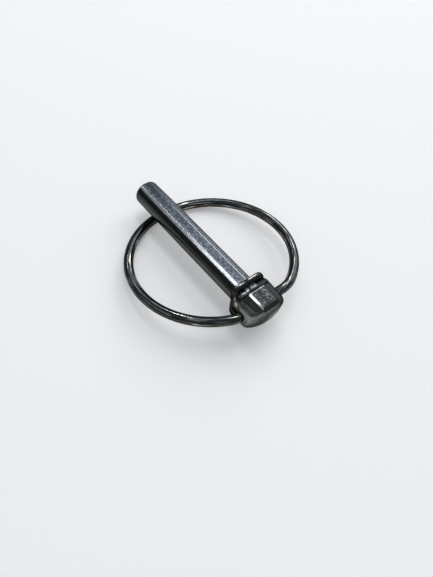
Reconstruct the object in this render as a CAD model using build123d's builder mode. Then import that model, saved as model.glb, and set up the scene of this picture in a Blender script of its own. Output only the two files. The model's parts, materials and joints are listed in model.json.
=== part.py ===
# Lynch pin lying on its ring: one forged pin and one round-wire snap ring hinged in its head.
# Millimetres. X runs along the shank towards the tip, Y across it, Z up from the floor.
# The origin is the middle of the outline in X and Y, on the floor.
import os
from math import asin, cos, sin, sqrt

from build123d import *

# Shank: a round bar of a standard size, with a flat pressed along its top.
shank_diameter = 8.0
shank_length = 46.8
lead_taper_length = 9.5
lead_taper_drop = 0.1
tip_round = 1.1
flat_height_share = 0.825
flat_half_width_share = 0.355
border_slope_share = 0.15

# Head: a hollow flare out to a collar, round cheeks, a squarish back end and a swept-up belly.
head_length = 10.8
flare_length = 4.4
collar_setback = 2.9
cheek_rise = 2.35
back_crown = 1.2
back_drop = 0.35
back_round = 2.0
belly_lift = 2.5
belly_margin = 0.1

# Top of the head: a raised lip across the front, a valley and a flat pad with sloping shoulders.
lip_half_width = 5.3
lip_height = 6.15
lip_thickness = 1.9
lip_corner = 2.1
lip_round = 0.75
valley_floor = 4.55
valley_length = 2.1
valley_round = 0.6
pad_height = 5.3
pad_half_width = 2.65
pad_side_shift = 0.35
pad_side_round = 3.5
pad_back_round = 1.4
shoulder_slope_share = 0.24

# Ring: round spring wire, both ends turned in to the hinge axis.
wire_diameter = 2.8
ring_tip_margin = 6.5
ring_side_offset = 1.95
ring_end_gap = 4.6
ring_left_bend_radius = 3.0
ring_right_bend_radius = 9.0
ring_bend_clearance = 0.32
ring_seat_gap = 0.04

# Hinge: a cross hole through both cheeks, with a round hollow in front of each mouth.
hinge_setback = 5.85
hinge_rise = 0.35
hinge_clearance = 0.05
mouth_setback = 3.1
mouth_rise = 0.6
mouth_radius = 2.9
mouth_floor = 5.4
mouth_round = 0.5

shank_radius = shank_diameter / 2
wire_radius = wire_diameter / 2
tip_radius = shank_radius - lead_taper_drop
cheek_radius = shank_radius + cheek_rise
total_length = shank_length + head_length

# Stations along the shank.
tip_x = total_length / 2
back_x = tip_x - total_length
blank_x = back_x - back_round
front_x = tip_x - shank_length
taper_x = tip_x - lead_taper_length
hinge_x = front_x - hinge_setback
lip_back_x = front_x - lip_thickness
pad_front_x = lip_back_x - valley_length
collar_x = front_x - collar_setback
mouth_x = front_x - mouth_setback

# The ring reaches from the hinge to a set distance short of the tip. Its wire leaves the cheek
# straight and turns through a bend onto the ring's circle. The tight left bend sets the radius of
# that circle; the wide right bend meets the same circle from further out.
far_reach = shank_length + hinge_setback - ring_tip_margin
left_reach = cheek_radius + ring_side_offset + ring_bend_clearance
ring_radius = (far_reach + left_reach**2 / (far_reach - 2 * ring_left_bend_radius)) / 2
centre_reach = far_reach - ring_radius
left_share = ring_radius / (ring_radius - ring_left_bend_radius)
left_x = centre_reach - (centre_reach - ring_left_bend_radius) * left_share
left_y = left_reach * left_share - ring_side_offset
right_arm = ring_radius - ring_right_bend_radius
right_reach = sqrt(right_arm**2 - (centre_reach - ring_right_bend_radius) ** 2)
right_share = ring_radius / right_arm
right_x = centre_reach - (centre_reach - ring_right_bend_radius) * right_share
right_y = -right_reach * right_share - ring_side_offset

# The closed ring lies against the underside of the shank; its slope and the axis height follow.
ring_reach = centre_reach + sqrt(ring_radius**2 - ring_side_offset**2)
seat_x = hinge_x + ring_reach
seat_radius = shank_radius - max(seat_x - taper_x, 0) * lead_taper_drop / lead_taper_length
ring_slope = asin((hinge_rise + seat_radius + ring_seat_gap + wire_radius) / ring_reach)
axis_z = far_reach * sin(ring_slope) - hinge_rise + wire_radius
axis_y = ring_side_offset
hinge_z = axis_z + hinge_rise
collar_radius = axis_z
belly_back = belly_lift + cheek_radius - back_drop
belly_front = 2 * belly_lift + collar_radius + belly_margin

# Section of the pressed flat, and of the pad with its shoulders, measured from the shank's axis.
outside = 2 * collar_radius
flat_height = flat_height_share * shank_radius
flat_half_width = flat_half_width_share * shank_radius
flat_edge = flat_height - border_slope_share * (outside - flat_half_width)
pad_edge = pad_height - shoulder_slope_share * (outside - pad_half_width)

axis_plane = Plane(origin=(0, axis_y, axis_z), x_dir=(1, 0, 0), z_dir=(0, -1, 0))
pin_axis = Axis((0, axis_y, axis_z), (1, 0, 0))
belly_axis = Axis((0, axis_y, axis_z + belly_lift), (1, 0, 0))
mouth_axis = Axis((mouth_x, axis_y, axis_z + mouth_rise), (0, 1, 0))
mouth_plane = Plane(origin=(mouth_x, axis_y, axis_z + mouth_rise), z_dir=(0, 0, 1))
lip_plane = Plane(origin=(lip_back_x, axis_y, axis_z), x_dir=(0, 1, 0), z_dir=(1, 0, 0))
front_plane = Plane(origin=(front_x, axis_y, axis_z), x_dir=(0, 1, 0), z_dir=(1, 0, 0))
ring_plane = Plane(
    origin=(hinge_x, axis_y, hinge_z),
    x_dir=(cos(ring_slope), 0, -sin(ring_slope)),
    z_dir=(sin(ring_slope), 0, cos(ring_slope)),
)

with BuildPart() as pin_body:
    # Shank, flare, collar, cheeks and back end, turned in one piece about the shank's axis.
    with BuildSketch(axis_plane):
        with BuildLine():
            Line((blank_x, 0), (tip_x, 0))
            Line((tip_x, 0), (tip_x, tip_radius - tip_round))
            RadiusArc((tip_x, tip_radius - tip_round), (tip_x - tip_round, tip_radius), -tip_round)
            Line((tip_x - tip_round, tip_radius), (taper_x, shank_radius))
            Line((taper_x, shank_radius), (collar_x + flare_length, shank_radius))
            Spline(
                (collar_x + flare_length, shank_radius),
                (collar_x, collar_radius),
                tangents=((-1, 0), (-1, 0)),
            )
            Line((collar_x, collar_radius), (blank_x, cheek_radius))
            Line((blank_x, cheek_radius), (blank_x, 0))
        make_face()
    revolve(axis=pin_axis)

    # Crowned back end and the belly that sweeps up to it, turned about an axis above the shank's.
    with BuildSketch(axis_plane):
        with BuildLine():
            Spline(
                (back_x, belly_lift),
                (back_x + back_crown, belly_back),
                (collar_x, belly_front),
                tangents=((0, 1), (1, 0)),
            )
            Polyline(
                (collar_x, belly_front),
                (collar_x, 2 * outside),
                (back_x - outside, 2 * outside),
                (back_x - outside, belly_lift),
                (back_x, belly_lift),
            )
        make_face()
    revolve(axis=belly_axis, mode=Mode.SUBTRACT)
    fillet(pin_body.edges(Select.LAST), back_round)

    # Flat pressed along the top of the shank, with borders that fall away to each side.
    with BuildSketch(front_plane):
        Polygon(
            (-outside, flat_edge),
            (-flat_half_width, flat_height),
            (flat_half_width, flat_height),
            (outside, flat_edge),
            (outside, outside),
            (-outside, outside),
            align=None,
        )
    extrude(amount=total_length, mode=Mode.SUBTRACT)

    # Pad on top of the head, with a shoulder sloping down on each side to the cheek.
    with BuildSketch(front_plane) as pad_section:
        Polygon(
            (-outside - pad_side_shift, pad_edge),
            (-pad_half_width - pad_side_shift, pad_height),
            (pad_half_width - pad_side_shift, pad_height),
            (outside - pad_side_shift, pad_edge),
            (outside - pad_side_shift, outside),
            (-outside - pad_side_shift, outside),
            align=None,
        )
        pad_corners = pad_section.vertices().group_by(Axis.Y)[1]
        fillet(pad_corners, pad_side_round)
    extrude(amount=-total_length, mode=Mode.SUBTRACT)

    # Valley in front of the pad, and the rounded edge at the pad's back.
    with BuildSketch(axis_plane) as valley_section:
        with Locations(((lip_back_x + pad_front_x) / 2, (valley_floor + outside) / 2)):
            Rectangle(valley_length, outside - valley_floor)
        fillet(valley_section.vertices().group_by(Axis.Y)[0], valley_round)
    extrude(amount=outside, both=True, mode=Mode.SUBTRACT)
    with BuildSketch(axis_plane):
        with Locations((back_x + pad_back_round / 2, pad_height - pad_back_round / 2)):
            Rectangle(pad_back_round, pad_back_round)
        with Locations((back_x + pad_back_round, pad_height - pad_back_round)):
            Circle(pad_back_round, mode=Mode.SUBTRACT)
    extrude(amount=outside, both=True, mode=Mode.SUBTRACT)

    # Lip across the front of the head, its edges rounded before it joins the rest.
    with BuildSketch(lip_plane):
        with Locations((0, lip_height / 2)):
            RectangleRounded(2 * lip_half_width, lip_height, lip_corner)
    lip = extrude(amount=lip_thickness, mode=Mode.PRIVATE)
    lip_ends = lip.faces().sort_by(Axis.X)
    add(lip.fillet(lip_round, lip_ends[0].edges() + lip_ends[-1].edges()))

    # Round hollow in front of each mouth of the cross hole, its floor edge rounded.
    with BuildSketch(mouth_plane) as mouth_section:
        with Locations(
            (mouth_radius / 2, (mouth_floor + outside) / 2),
            (mouth_radius / 2, -(mouth_floor + outside) / 2),
        ):
            Rectangle(mouth_radius, outside - mouth_floor)
        fillet(mouth_section.vertices().group_by(Axis.X)[-1], mouth_round)
    revolve(axis=mouth_axis, mode=Mode.SUBTRACT)

    # Cross hole for the ring's ends.
    with BuildSketch(axis_plane):
        with Locations((hinge_x, hinge_rise)):
            Circle(wire_radius + hinge_clearance)
    extrude(amount=outside, both=True, mode=Mode.SUBTRACT)
pin_body.part.label = "pin_body"

with BuildPart() as snap_ring:
    # Wire path in the ring's own plane: in along the hinge axis, round the ring and back in.
    with BuildLine(ring_plane):
        Line((0, ring_end_gap / 2), (0, left_reach - ring_side_offset))
        RadiusArc((0, left_reach - ring_side_offset), (left_x, left_y), ring_left_bend_radius)
        ThreePointArc((left_x, left_y), (far_reach, -ring_side_offset), (right_x, right_y))
        RadiusArc((right_x, right_y), (0, -right_reach - ring_side_offset), ring_right_bend_radius)
        Line((0, -right_reach - ring_side_offset), (0, -ring_end_gap / 2))
    with BuildSketch(Plane(origin=(hinge_x, axis_y + ring_end_gap / 2, hinge_z), z_dir=(0, 1, 0))):
        Circle(wire_radius)
    sweep()
snap_ring.part.label = "snap_ring"

os.makedirs("parts", exist_ok=True)
export_step(pin_body.part, "parts/pin_body.step")
export_step(snap_ring.part, "parts/snap_ring.step")
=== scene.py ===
"""Lynch pin: looks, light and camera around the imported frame. Metres."""

import json
from math import atan, cos, pi

import bmesh
import bpy
from mathutils import Matrix, Quaternion, Vector


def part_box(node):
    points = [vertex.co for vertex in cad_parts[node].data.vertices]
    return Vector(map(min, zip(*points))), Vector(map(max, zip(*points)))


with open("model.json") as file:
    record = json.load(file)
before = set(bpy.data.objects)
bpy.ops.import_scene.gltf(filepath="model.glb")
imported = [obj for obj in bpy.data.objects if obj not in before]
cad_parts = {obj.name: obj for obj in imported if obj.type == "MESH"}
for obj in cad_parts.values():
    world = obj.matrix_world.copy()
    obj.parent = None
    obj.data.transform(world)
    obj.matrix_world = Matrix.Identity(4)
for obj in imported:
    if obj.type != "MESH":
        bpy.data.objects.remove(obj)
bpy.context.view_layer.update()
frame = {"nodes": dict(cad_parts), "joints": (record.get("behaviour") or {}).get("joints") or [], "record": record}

scene = bpy.context.scene
scene.view_settings.view_transform = "Standard"

# Sizes of the solids that the finishes follow, in millimetres.
MM = 1000.0
HEAD_LENGTH = 10.8
LIP_THICKNESS = 1.9
LIP_HEIGHT = 6.15
VALLEY_LENGTH = 2.1
VALLEY_FLOOR = 4.55
PAD_HEIGHT = 5.3
FLAT_HALF_WIDTH = 1.42
MOUTH_SETBACK = 3.1
MOUTH_RISE = 0.6
MOUTH_RADIUS = 2.9
MOUTH_FLOOR = 5.4
WIRE_RADIUS = 1.4
EDGE_ROUND = 0.45

# Places on the pin, from the frame, in millimetres.
AXIS_Y, AXIS_Z = (MM * place for place in frame["record"]["mounts"][0]["pos_m"][1:])
pin_low, pin_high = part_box("pin_body")
TIP_END = MM * pin_high.x
HEAD_FRONT = MM * pin_low.x + HEAD_LENGTH
LIP_BACK = HEAD_FRONT - LIP_THICKNESS
PAD_FRONT = LIP_BACK - VALLEY_LENGTH
MOUTH_X = HEAD_FRONT - MOUTH_SETBACK

# Places on the ring, from the frame: it falls from its hinge to the floor at its far side.
HINGE_X, _, HINGE_Z = (MM * place for place in frame["joints"][0]["pos_m"])
ring_low, ring_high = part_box("snap_ring")
RING_FAR_X = MM * ring_high.x - WIRE_RADIUS
RING_RADIUS = MM * (ring_high.y - ring_low.y) / 2 - WIRE_RADIUS
RING_FALL = (HINGE_Z - WIRE_RADIUS) / (RING_FAR_X - HINGE_X)
RING_CENTRE_X = RING_FAR_X - RING_RADIUS * cos(atan(RING_FALL))
RING_CENTRE_Z = WIRE_RADIUS + (RING_FAR_X - RING_CENTRE_X) * RING_FALL

# Tones of the bar: its round sides, and the flat pressed along it.
BAR_DARK = (0.075, 0.08, 0.075, 1)
BAR_LIGHT = (0.15, 0.158, 0.148, 1)
# Painted shade: a dark band on the round side just under the flat's edge.
BAR_CREASE_SHADE = (0.03, 0.032, 0.036, 1)
# Painted glints: small yellowish specks of light on the round sides.
SPECK_GLINT = (0.4, 0.385, 0.31, 1)
FLAT_DARK = (0.032, 0.04, 0.052, 1)
FLAT_LIGHT = (0.161, 0.182, 0.215, 1)
FLAT_SPECK = (0.319, 0.348, 0.38, 1)
# Painted shade: the flat is darkened towards the tip.
FLAT_TIP_SHADE = (0.032, 0.037, 0.044, 1)
# Painted highlight: a bright line along the flat's right edge.
FLAT_EDGE_HIGHLIGHT = (0.384, 0.416, 0.448, 1)
# Painted highlight over the flat's left border, mixed with its grain.
BORDER_HIGHLIGHT_DARK = (0.18, 0.198, 0.212, 1)
BORDER_HIGHLIGHT_LIGHT = (0.36, 0.378, 0.392, 1)
# Painted shade on faces that slope to the right, on the bar and the head.
RIGHT_SHADE_DARK = (0.025, 0.029, 0.034, 1)
RIGHT_SHADE_LIGHT = (0.1, 0.11, 0.124, 1)

# Tones of the head: cheeks, back, pad, lip, valley and hollows.
CHEEK_DARK = (0.2, 0.217, 0.203, 1)
CHEEK_LIGHT = (0.32, 0.342, 0.318, 1)
CHEEK_SWIRL = (0.035, 0.038, 0.036, 1)
# Painted shade: the right cheek is darker than the left.
RIGHT_CHEEK_SHADE_DARK = (0.06, 0.064, 0.061, 1)
RIGHT_CHEEK_SHADE_LIGHT = (0.11, 0.117, 0.111, 1)
# Painted shade: the back is darker than the cheeks, darkest to its right.
BACK_SHADE_DARK = (0.13, 0.139, 0.131, 1)
BACK_SHADE_LIGHT = (0.21, 0.222, 0.21, 1)
BACK_RIGHT_SHADE = (0.03, 0.032, 0.031, 1)
# Painted highlight: a light streak across the back.
BACK_STREAK_HIGHLIGHT = (0.55, 0.57, 0.54, 1)
# Painted shade on the head's top edges where they turn back.
BACK_EDGE_SHADE = (0.028, 0.03, 0.03, 1)
PAD_DARK = (0.014, 0.016, 0.017, 1)
PAD_LIGHT = (0.062, 0.068, 0.072, 1)
PAD_WORN = (0.172, 0.185, 0.185, 1)
# Painted highlights: a line along the pad's front and a bright left edge.
PAD_FRONT_HIGHLIGHT = (0.5, 0.53, 0.54, 1)
PAD_EDGE_HIGHLIGHT = (0.85, 0.85, 0.83, 1)
# Painted shade on the shoulders beside the pad, left and right.
SHOULDER_SHADE = (0.018, 0.02, 0.021, 1)
RIGHT_SHOULDER_SHADE = (0.024, 0.026, 0.028, 1)
# Painted shade darkens the lip; a painted highlight runs along its crest.
LIP_SHADE = (0.03, 0.032, 0.03, 1)
LIP_LEFT = (0.05, 0.045, 0.036, 1)
LIP_CREST_HIGHLIGHT = (0.85, 0.86, 0.84, 1)
# Painted shade in the valley; the beads behind the lip carry a painted highlight.
VALLEY_SHADE = (0.02, 0.022, 0.023, 1)
BEAD_HIGHLIGHT = (0.95, 0.97, 0.96, 1)
HOLLOW_TONE = (0.08, 0.079, 0.068, 1)
HOLLOW_GLINT = (0.7, 0.68, 0.54, 1)

# Tones of the wire: bluish above and olive below as painted reflections, with painted highlights along its drawn
# lines.
WIRE_TOP_REFLECTION_DARK = (0.033, 0.038, 0.041, 1)
WIRE_TOP_REFLECTION_LIGHT = (0.074, 0.081, 0.084, 1)
WIRE_LOW_REFLECTION_DARK = (0.035, 0.034, 0.025, 1)
WIRE_LOW_REFLECTION_LIGHT = (0.088, 0.082, 0.062, 1)
WIRE_HIGHLIGHT_COOL = (0.375, 0.405, 0.432, 1)
WIRE_HIGHLIGHT_WARM = (0.9, 0.84, 0.675, 1)

# How far the metal brightens where it is seen along its surface.
BAR_GLANCING = (0.5, 0.5, 0.5, 1)
HEAD_GLANCING = (0.28, 0.28, 0.28, 1)
WIRE_GLANCING = (0.45, 0.45, 0.45, 1)

# Roughness, from the smoothest to the dullest places.
ROUND_ROUGH = (0.13, 0.22)
FLAT_ROUGH = (0.18, 0.30)
PAD_ROUGH = (0.14, 0.26)
WIRE_ROUGH = (0.07, 0.13)

# Relief of the marks, in millimetres; the crown is the fall of a flat one millimetre off its middle.
GRAIN_DEPTH = 0.0035
SCRATCH_DEPTH = 0.003
CROWN_FALL = 0.02
WAVE_DEPTH = 0.06
BEAD_DEPTH = 0.12
LINE_DEPTH = 0.01

# How the patterns run: grain and waves drawn out along the bar, scratches aslant, lines along the wire.
GRAIN_STRETCH = 0.7
WAVE_STRETCH = 0.4
SCRATCH_COS, SCRATCH_SIN = 0.8, 0.6
SCRATCH_LENGTHWISE, SCRATCH_CROSSWISE = 0.7, 1.5
STREAK_TILT = 0.25
LINES_AROUND, LINES_ALONG = 1.6, 1.1

# Floor, room and camera.
FLOOR_SIZE = 4.0
FLOOR_PAINT = (0.9, 0.9, 0.9, 1)
FLOOR_GLOW = 0.24
ROOM_LOW = (0.14, 0.14, 0.14, 1)
ROOM_OVERHEAD = (0.34, 0.36, 0.39, 1)
LENS_LENGTH_MM = 31.105
CAMERA_PLACE = (-0.068189, 0.062907, 0.117609)
CAMERA_TURN = (-0.420116, -0.09684, 0.286992, 0.85543)
NEAREST_SEEN = 0.001


class Finish:
    """A node material with short names for the nodes that the finishes use."""

    def __init__(self, name):
        self.material = bpy.data.materials.new(name)
        self.material.use_nodes = True
        self.nodes = self.material.node_tree.nodes
        self.links = self.material.node_tree.links
        self.shader = self.nodes["Principled BSDF"]
        self.place = self.nodes.new("ShaderNodeTexCoord")

    def put(self, socket, value):
        """Links a socket to the value, or sets it."""
        if isinstance(value, bpy.types.NodeSocket):
            self.links.new(value, socket)
        else:
            socket.default_value = value

    def math(self, operation, a, b=0.0, clamp=False):
        node = self.nodes.new("ShaderNodeMath")
        node.operation = operation
        node.use_clamp = clamp
        self.put(node.inputs[0], a)
        self.put(node.inputs[1], b)
        return node.outputs[0]

    def times(self, *shares):
        product = shares[0]
        for share in shares[1:]:
            product = self.math("MULTIPLY", product, share)
        return product

    def reach(self, a, b):
        """Distance from the origin of a plane, from the two places in it."""
        return self.math("SQRT", self.math("ADD", self.times(a, a), self.times(b, b)))

    def without(self, share):
        return self.math("SUBTRACT", 1.0, share)

    def step(self, value, start, full, least=0.0, most=1.0):
        """A soft step, from least where the value is at start to most where it is at full."""
        node = self.nodes.new("ShaderNodeMapRange")
        node.interpolation_type = "SMOOTHSTEP"
        self.put(node.inputs["Value"], value)
        self.put(node.inputs["From Min"], start)
        self.put(node.inputs["From Max"], full)
        self.put(node.inputs["To Min"], least)
        self.put(node.inputs["To Max"], most)
        return node.outputs["Result"]

    def band(self, value, middle, half, soft):
        """Full within half of the middle, with soft edges beyond that."""
        away = self.math("ABSOLUTE", self.math("SUBTRACT", value, middle))
        return self.step(away, start=half + soft, full=half)

    def millimetres(self):
        """Place on the part, in millimetres."""
        node = self.nodes.new("ShaderNodeVectorMath")
        node.operation = "SCALE"
        self.put(node.inputs[0], self.place.outputs["Object"])
        self.put(node.inputs["Scale"], MM)
        return node.outputs["Vector"]

    def split(self, vector):
        node = self.nodes.new("ShaderNodeSeparateXYZ")
        self.put(node.inputs[0], vector)
        return node.outputs["X"], node.outputs["Y"], node.outputs["Z"]

    def join(self, x, y, z):
        node = self.nodes.new("ShaderNodeCombineXYZ")
        for socket, value in zip(node.inputs, (x, y, z)):
            self.put(socket, value)
        return node.outputs[0]

    def noise(self, vector, scale, detail=3.0, rough=0.55, swirl=0.0):
        node = self.nodes.new("ShaderNodeTexNoise")
        self.put(node.inputs["Vector"], vector)
        self.put(node.inputs["Scale"], scale)
        self.put(node.inputs["Detail"], detail)
        self.put(node.inputs["Roughness"], rough)
        self.put(node.inputs["Distortion"], swirl)
        return node.outputs["Fac"]

    def blend(self, share, a, b, kind="FLOAT"):
        node = self.nodes.new("ShaderNodeMix")
        node.data_type = kind
        self.put(node.inputs["Factor"], share)
        self.put(node.inputs["A"], a)
        self.put(node.inputs["B"], b)
        return node.outputs["Result"]

    def mix(self, share, a, b):
        return self.blend(share, a, b, kind="RGBA")

    def lay(self, tone, colour, *masks, share=1.0):
        """The tone with a colour laid over it, where all the masks are full."""
        return self.mix(self.times(*masks, share), tone, colour)

    def bump(self, height, edge=0.0):
        """Relief from a height in millimetres, over edges rounded by that many millimetres."""
        node = self.nodes.new("ShaderNodeBump")
        self.put(node.inputs["Height"], height)
        self.put(node.inputs["Distance"], 1 / MM)
        self.put(node.inputs["Strength"], 1.0)
        if edge:
            soft = self.nodes.new("ShaderNodeBevel")
            soft.samples = 6
            self.put(soft.inputs["Radius"], edge / MM)
            self.put(node.inputs["Normal"], soft.outputs["Normal"])
        self.put(self.shader.inputs["Normal"], node.outputs["Normal"])

    def metal(self, colour, roughness, glancing):
        self.put(self.shader.inputs["Base Color"], colour)
        self.put(self.shader.inputs["Specular Tint"], glancing)
        self.put(self.shader.inputs["Roughness"], roughness)
        self.put(self.shader.inputs["Metallic"], 1.0)


class Forging(Finish):
    """Plated forging: pressed flats with a grain, dark round sides, painted highlights on some edges and painted
    shade on others.
    """

    def __init__(self):
        super().__init__("plated forging")
        self.spot = self.millimetres()
        self.x, self.y, self.z = self.split(self.spot)
        self.across = self.math("SUBTRACT", self.y, AXIS_Y)
        self.up = self.math("SUBTRACT", self.z, AXIS_Z)
        self.forward, self.sideways, self.level = self.split(self.place.outputs["Normal"])
        self.tell_faces()
        self.make_marks()
        tone = self.round_sides()
        tone = self.pressed_flat(tone)
        tone = self.pad(tone)
        tone = self.lip(tone)
        tone = self.valley(tone)
        tone = self.hollows(tone)
        self.metal(tone, self.polish(), self.mix(self.head, BAR_GLANCING, HEAD_GLANCING))
        self.bump(self.relief(), edge=EDGE_ROUND)

    def tell_faces(self):
        """Shares that tell the faces apart, from the place on the part and the normal."""
        self.head = self.step(self.x, start=HEAD_FRONT + 0.3, full=HEAD_FRONT - 0.2)
        self.bar = self.without(self.head)
        self.top = self.step(self.level, start=0.988, full=0.997)
        self.leftward = self.step(self.sideways, start=0.03, full=0.07)
        self.rightward = self.step(self.sideways, start=-0.03, full=-0.07)
        self.backward = self.step(self.forward, start=-0.3, full=-0.6)
        over_valley = self.step(self.up, start=VALLEY_FLOOR - 0.55, full=VALLEY_FLOOR - 0.25)
        behind_lip = self.band(self.x, middle=LIP_BACK - 0.35, half=0.45, soft=0.25)
        under_crest = self.step(self.up, start=LIP_HEIGHT - 0.35, full=LIP_HEIGHT - 0.65)
        self.lip_wall = self.times(behind_lip, under_crest, over_valley)
        in_valley = self.band(self.x, middle=(LIP_BACK + PAD_FRONT) / 2, half=0.95, soft=0.25)
        under_pad = self.step(self.up, start=PAD_HEIGHT - 0.05, full=PAD_HEIGHT - 0.3)
        self.valley_floor = self.times(in_valley, under_pad, over_valley)

    def make_marks(self):
        """Marks of the making: grain, specks, clouds, swirls, waves, drips and scratches; specks and drips also
        place painted glints and painted highlights.
        """
        self.grain = self.noise(self.drawn_out(GRAIN_STRETCH), scale=2.4, detail=4.0, rough=0.75)
        self.speck = self.noise(self.spot, scale=1.7, rough=0.6)
        self.cloud = self.noise(self.spot, scale=0.3)
        self.swirl = self.noise(self.spot, scale=0.2, detail=2.0, rough=0.5, swirl=1.4)
        self.wave = self.noise(self.drawn_out(WAVE_STRETCH), scale=0.45, detail=2.0)
        self.drips = self.noise(self.spot, scale=0.55, detail=1.0)
        self.scratch = self.noise(self.slanting(), scale=1.5, detail=4.0, rough=0.7)
        # The beads are raised in relief and also carry a painted highlight.
        bead_height = self.band(self.up, middle=VALLEY_FLOOR + 0.45, half=0.1, soft=0.6)
        bead_length = self.band(self.across, middle=0.7, half=1.6, soft=1.6)
        beaded = self.step(self.drips, start=0.42, full=0.56)
        self.bead = self.times(self.lip_wall, bead_height, beaded, bead_length)

    def drawn_out(self, share):
        """Place on the part with the pattern drawn out along the bar."""
        return self.join(self.times(self.x, share), self.y, self.z)

    def slanting(self):
        """Place seen from above, turned aslant, with the pattern drawn out along the slant."""
        along = self.math("ADD", self.times(self.x, SCRATCH_COS), self.times(self.y, SCRATCH_SIN))
        aside = self.math("SUBTRACT", self.times(self.y, SCRATCH_COS), self.times(self.x, SCRATCH_SIN))
        return self.join(self.times(along, SCRATCH_LENGTHWISE), self.times(aside, SCRATCH_CROSSWISE), 0.0)

    def clouded(self, dark, light):
        return self.mix(self.cloud, dark, light)

    def round_sides(self):
        """Clouded bar with painted shade in a dark band beside the flat, and the cheeks of the head."""
        # Painted shade along the round side where it turns under the flat.
        crease = self.band(self.level, middle=0.56, half=0.16, soft=0.25)
        tone = self.lay(self.clouded(BAR_DARK, BAR_LIGHT), BAR_CREASE_SHADE, crease, self.bar, share=0.85)
        tone = self.lay(tone, self.cheeks(), self.head)
        # Painted glints in small yellowish specks.
        return self.lay(tone, SPECK_GLINT, self.step(self.speck, start=0.67, full=0.74), share=0.35)

    def cheeks(self):
        """Sides and back of the head, with swirls; painted shade on the back and the right cheek, and a painted
        highlight streak over the back.
        """
        tone = self.clouded(CHEEK_DARK, CHEEK_LIGHT)
        # Painted shade on the back.
        back = self.step(self.forward, start=-0.35, full=-0.75)
        tone = self.lay(tone, self.clouded(BACK_SHADE_DARK, BACK_SHADE_LIGHT), back)
        # Painted shade, darker still on the back's right.
        back_right = self.step(self.sideways, start=-0.12, full=-0.4)
        tone = self.lay(tone, BACK_RIGHT_SHADE, back_right, self.backward, share=0.85)
        swirls = self.band(self.swirl, middle=0.5, half=0.01, soft=0.06)
        tone = self.lay(tone, CHEEK_SWIRL, swirls, share=0.35)
        # Painted shade on the right cheek.
        right = self.step(self.sideways, start=-0.05, full=-0.3)
        tone = self.lay(tone, self.clouded(RIGHT_CHEEK_SHADE_DARK, RIGHT_CHEEK_SHADE_LIGHT), right, share=0.85)
        # Painted highlight: a light streak across the back.
        tilted = self.math("ADD", self.up, self.times(self.across, STREAK_TILT))
        streak_height = self.band(tilted, middle=0.5, half=0.1, soft=2.0)
        streak_length = self.band(self.across, middle=-0.8, half=0.3, soft=3.6)
        patchy = self.step(self.cloud, start=0.2, full=0.6, least=0.4, most=0.9)
        return self.lay(tone, BACK_STREAK_HIGHLIGHT, self.backward, streak_height, streak_length, patchy)

    def pressed_flat(self, tone):
        """Grained flat with painted shade towards the tip, a painted highlight on its left border and a painted
        highlight line on its right.
        """
        flat = self.mix(self.step(self.grain, start=0.42, full=0.60), FLAT_DARK, FLAT_LIGHT)
        flat = self.lay(flat, FLAT_SPECK, self.step(self.speck, start=0.60, full=0.68), share=0.6)
        # Painted shade, darkening the flat towards the tip.
        tipward = self.step(self.x, start=TIP_END - 26.8, full=TIP_END + 1.2, most=0.45)
        flat = self.lay(flat, FLAT_TIP_SHADE, tipward)
        tone = self.lay(tone, flat, self.top, self.bar)
        # Painted highlight: a bright line along the right edge, stronger towards the head.
        edge = self.band(self.across, middle=0.12 - FLAT_HALF_WIDTH, half=0.05, soft=0.1)
        headward = self.step(self.x, start=TIP_END - 6.8, full=TIP_END - 24.8, least=0.15, most=0.8)
        tone = self.lay(tone, FLAT_EDGE_HIGHLIGHT, self.bar, edge, self.top, headward)
        # Painted highlight over the left border.
        border = self.band(self.level, middle=0.988, half=0.006, soft=0.005)
        border_highlight = self.mix(self.step(self.grain, start=0.3, full=0.7), BORDER_HIGHLIGHT_DARK, BORDER_HIGHLIGHT_LIGHT)
        return self.lay(tone, border_highlight, border, self.bar, self.leftward)

    def pad(self, tone):
        """Dark pad with worn scratches and painted highlights along its front and left edge; painted shade on the
        shoulders, right-sloping faces and back edge.
        """
        pad = self.mix(self.step(self.grain, start=0.4, full=0.68), PAD_DARK, PAD_LIGHT)
        worn_width = self.band(self.across, middle=-0.5, half=1.0, soft=1.4)
        worn_length = self.band(self.x, middle=PAD_FRONT - 2.7, half=1.3, soft=1.8)
        scratched = self.step(self.scratch, start=0.5, full=0.6)
        pad = self.lay(pad, PAD_WORN, worn_width, worn_length, scratched)
        # Painted highlight: a broken bright line along the pad's front.
        front_line = self.band(self.x, middle=PAD_FRONT - 0.2, half=0.06, soft=0.14)
        broken = self.step(self.scratch, start=0.36, full=0.5)
        pad = self.lay(pad, PAD_FRONT_HIGHLIGHT, front_line, broken, share=0.85)
        tone = self.lay(tone, pad, self.top, self.head)

        # Painted shade on the shoulders.
        shoulder = self.band(self.level, middle=0.966, half=0.014, soft=0.012)
        tone = self.lay(tone, SHOULDER_SHADE, shoulder, self.head, share=0.9)
        # Painted shade on faces sloping to the right.
        right = self.mix(self.step(self.grain, start=0.4, full=0.62), RIGHT_SHADE_DARK, RIGHT_SHADE_LIGHT)
        right = self.lay(right, RIGHT_SHOULDER_SHADE, self.head)
        sloping = self.step(self.level, start=0.9, full=0.95)
        tone = self.lay(tone, right, self.rightward, sloping, share=0.9)
        # Painted shade on the top's back edges.
        turning_back = self.step(self.forward, start=-0.04, full=-0.12)
        facing_up = self.step(self.level, start=0.6, full=0.8)
        tone = self.lay(tone, BACK_EDGE_SHADE, turning_back, facing_up, self.head, share=0.85)

        # Painted highlight along the pad's left edge.
        left_edge = self.band(self.level, middle=0.992, half=0.0045, soft=0.0055)
        from_front = self.step(self.x, start=PAD_FRONT, full=PAD_FRONT - 0.7)
        from_back = self.step(self.x, start=PAD_FRONT - 5.4, full=PAD_FRONT - 2.0)
        return self.lay(tone, PAD_EDGE_HIGHLIGHT, left_edge, self.head, self.leftward, from_front, from_back)

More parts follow.
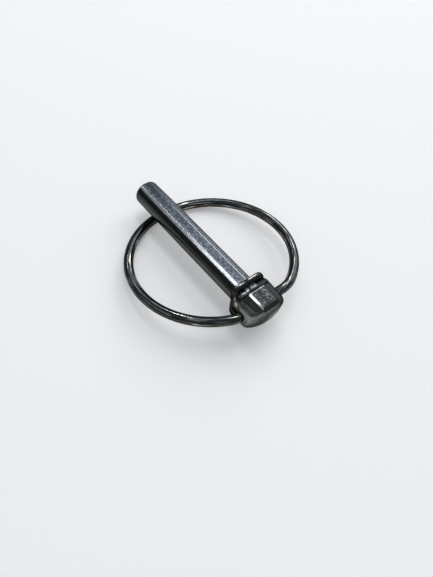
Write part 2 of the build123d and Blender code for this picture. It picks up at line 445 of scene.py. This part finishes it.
    def lip(self, tone):
        """Lip painted dark as painted shade, browner on its left, with a broken painted highlight along its crest.
        """
        lip = self.times(self.head, self.step(self.x, start=LIP_BACK - 0.2, full=LIP_BACK + 0.1))
        # Painted shade over the lip.
        tone = self.lay(tone, LIP_SHADE, lip, share=0.85)
        tone = self.lay(tone, LIP_LEFT, lip, self.step(self.across, start=2.5, full=4.8), share=0.5)
        # Painted highlight along the crest, broken into dashes.
        high = self.step(self.up, start=LIP_HEIGHT - 0.45, full=LIP_HEIGHT - 0.2)
        crest = self.band(self.x, middle=HEAD_FRONT - 0.55, half=0.15, soft=0.22)
        broken = self.step(self.drips, start=0.42, full=0.55)
        length = self.band(self.across, middle=0.4, half=3.0, soft=1.2)
        return self.lay(tone, LIP_CREST_HIGHLIGHT, lip, high, crest, broken, length)

    def valley(self, tone):
        """Valley painted dark as painted shade, with raised beads on the wall behind the lip that carry a painted
        highlight.
        """
        # Painted shade in the valley, then a painted highlight on the beads.
        tone = self.lay(tone, VALLEY_SHADE, self.valley_floor)
        return self.lay(tone, BEAD_HIGHLIGHT, self.bead)

    def hollows(self, tone):
        """Round hollow at each mouth of the cross hole, with a glint in the left one."""
        from_mouth = self.math("SUBTRACT", self.x, MOUTH_X)
        over_mouth = self.math("SUBTRACT", self.up, MOUTH_RISE)
        mouth_reach = self.reach(from_mouth, over_mouth)
        within = self.step(mouth_reach, start=MOUTH_RADIUS + 0.2, full=MOUTH_RADIUS - 0.1)
        aside = self.math("ABSOLUTE", self.across)
        outside = self.step(aside, start=MOUTH_FLOOR - 0.4, full=MOUTH_FLOOR - 0.1)
        hollow = self.times(within, outside)
        tone = self.lay(tone, HOLLOW_TONE, hollow, share=0.8)
        left = self.step(self.across, start=MOUTH_FLOOR - 0.9, full=MOUTH_FLOOR - 0.4)
        glint_width = self.band(self.x, middle=MOUTH_X + 0.2, half=0.2, soft=0.6)
        glint_height = self.band(self.up, middle=MOUTH_RISE + 1.6, half=0.5, soft=1.2)
        patchy = self.step(self.cloud, start=0.3, full=0.6, least=0.5, most=1.0)
        return self.lay(tone, HOLLOW_GLINT, hollow, left, glint_width, glint_height, patchy)

    def polish(self):
        """Roughness: smooth round sides, duller flat and pad."""
        rough = self.blend(self.cloud, *ROUND_ROUGH)
        flat = self.blend(self.speck, *FLAT_ROUGH)
        rough = self.blend(self.times(self.top, self.bar), rough, flat)
        pad = self.blend(self.speck, *PAD_ROUGH)
        return self.blend(self.times(self.top, self.head), rough, pad)

    def relief(self):
        """Heights in millimetres: a crowned, grained top, waved sides and the raised beads."""
        grain = self.times(self.grain, GRAIN_DEPTH)
        scratches = self.times(self.scratch, SCRATCH_DEPTH)
        crown = self.times(self.across, self.across, -CROWN_FALL)
        pressed = self.math("ADD", self.math("ADD", grain, scratches), crown)
        waves = self.times(self.wave, WAVE_DEPTH)
        rolled = self.math("ADD", waves, self.times(self.bead, BEAD_DEPTH))
        return self.blend(self.top, rolled, pressed)


class SpringWire(Finish):
    """Drawn spring wire: dark, with fine lines along it in relief and roughness that carry painted highlights."""

    def __init__(self):
        super().__init__("plated wire")
        spot = self.millimetres()
        x, y, z = self.split(spot)
        level = self.split(self.place.outputs["Normal"])[2]
        from_centre = self.math("SUBTRACT", x, RING_CENTRE_X)
        over_centre = self.math("SUBTRACT", z, RING_CENTRE_Z)
        outward = self.math("SUBTRACT", self.reach(from_centre, y), RING_RADIUS)
        height = self.math("ADD", over_centre, self.times(from_centre, RING_FALL))
        around_wire = self.math("ARCTAN2", height, outward)
        around_ring = self.math("ARCTAN2", y, from_centre)
        around_wire = self.times(around_wire, LINES_AROUND)
        around_ring = self.times(around_ring, LINES_ALONG)
        lines = self.noise(self.join(around_wire, around_ring, 0.0), scale=2.2, rough=0.6)
        cloud = self.noise(spot, scale=0.25)

        # Painted reflections: bluish on the upper side, olive on the lower side.
        upper = self.mix(cloud, WIRE_TOP_REFLECTION_DARK, WIRE_TOP_REFLECTION_LIGHT)
        lower = self.mix(cloud, WIRE_LOW_REFLECTION_DARK, WIRE_LOW_REFLECTION_LIGHT)
        tone = self.mix(self.step(level, start=0.1, full=0.5), lower, upper)
        # Painted highlights, cool and warm, along the drawn lines.
        bright = self.mix(self.step(cloud, start=0.42, full=0.6), WIRE_HIGHLIGHT_COOL, WIRE_HIGHLIGHT_WARM)
        tone = self.lay(tone, bright, self.step(lines, start=0.56, full=0.66))
        self.metal(tone, self.blend(lines, *WIRE_ROUGH), WIRE_GLANCING)
        self.bump(self.times(lines, LINE_DEPTH))


def pale_floor():
    """A pale floor that shows white and keeps the shadow of the pin."""
    mesh = bpy.data.meshes.new("pale floor")
    shape = bmesh.new()
    bmesh.ops.create_grid(shape, x_segments=1, y_segments=1, size=FLOOR_SIZE / 2)
    shape.to_mesh(mesh)
    shape.free()
    floor = bpy.data.objects.new("pale floor", mesh)
    scene.collection.objects.link(floor)

    paint = Finish("floor paint")
    paint.put(paint.shader.inputs["Base Color"], FLOOR_PAINT)
    paint.put(paint.shader.inputs["Roughness"], 0.95)
    paint.put(paint.shader.inputs["Specular IOR Level"], 0.1)
    seen = paint.nodes.new("ShaderNodeLightPath")
    to_eye = paint.math("ADD", seen.outputs["Is Camera Ray"], seen.outputs["Is Glossy Ray"])
    to_eye = paint.math("ADD", to_eye, seen.outputs["Is Transmission Ray"], clamp=True)
    paint.put(paint.shader.inputs["Emission Color"], (1, 1, 1, 1))
    paint.put(paint.shader.inputs["Emission Strength"], paint.times(to_eye, FLOOR_GLOW))
    floor.data.materials.append(paint.material)
    return floor


def room_light():
    """A soft sky that is lighter overhead."""
    room = bpy.data.worlds.new("room")
    scene.world = room
    room.use_nodes = True
    nodes = room.node_tree.nodes
    links = room.node_tree.links
    where = nodes.new("ShaderNodeTexCoord")
    parts = nodes.new("ShaderNodeSeparateXYZ")
    rise = nodes.new("ShaderNodeMapRange")
    rise.interpolation_type = "SMOOTHSTEP"
    rise.inputs["From Min"].default_value = 0.1
    rise.inputs["From Max"].default_value = 0.75
    shade = nodes.new("ShaderNodeMix")
    shade.data_type = "RGBA"
    shade.inputs["A"].default_value = ROOM_LOW
    shade.inputs["B"].default_value = ROOM_OVERHEAD
    links.new(where.outputs["Generated"], parts.inputs[0])
    links.new(parts.outputs["Z"], rise.inputs["Value"])
    links.new(rise.outputs["Result"], shade.inputs["Factor"])
    links.new(shade.outputs["Result"], nodes["Background"].inputs["Color"])
    nodes["Background"].inputs["Strength"].default_value = 1.0


def softbox(name, toward, distance, wide, deep, radiance, tint=(1, 1, 1)):
    """A flat lamp that faces the origin, with its wide side along the shank."""
    lamp = bpy.data.lights.new(name, "AREA")
    lamp.shape = "RECTANGLE"
    lamp.size = wide
    lamp.size_y = deep
    lamp.color = tint
    lamp.energy = radiance * wide * deep * pi
    stand = bpy.data.objects.new(name, lamp)
    back = Vector(toward).normalized()
    aside = back.cross(Vector((1, 0, 0))).normalized()
    along = aside.cross(back)
    stand.location = back * distance
    stand.rotation_euler = Matrix((along, aside, back)).transposed().to_euler()
    scene.collection.objects.link(stand)


def viewing_camera():
    """Camera at the photograph's viewing angle."""
    lens = bpy.data.cameras.new("camera")
    lens.lens = LENS_LENGTH_MM
    lens.clip_start = NEAREST_SEEN
    camera = bpy.data.objects.new("camera", lens)
    camera.location = CAMERA_PLACE
    camera.rotation_mode = "QUATERNION"
    camera.rotation_quaternion = Quaternion(CAMERA_TURN)
    scene.collection.objects.link(camera)
    scene.camera = camera


finishes = {"pin_body": Forging(), "snap_ring": SpringWire()}
for name, piece in frame["nodes"].items():
    piece.data.materials.clear()
    piece.data.materials.append(finishes[name].material)

floor = pale_floor()
room_light()
softbox("strip light", (0.22, -0.21, 0.93), distance=0.6, wide=0.34, deep=0.09, radiance=4.0)
softbox("tube light", (0.58, -0.27, 0.76), distance=0.8, wide=0.6, deep=0.018, radiance=16.0)
softbox(
    "fill light",
    (0.24, -0.37, 0.86),
    distance=0.8,
    wide=0.25,
    deep=0.14,
    radiance=1.0,
    tint=(0.92, 0.96, 1.0),
)
softbox("side light", (0.25, -0.85, 0.6), distance=2.0, wide=1.8, deep=1.4, radiance=2.3)
viewing_camera()
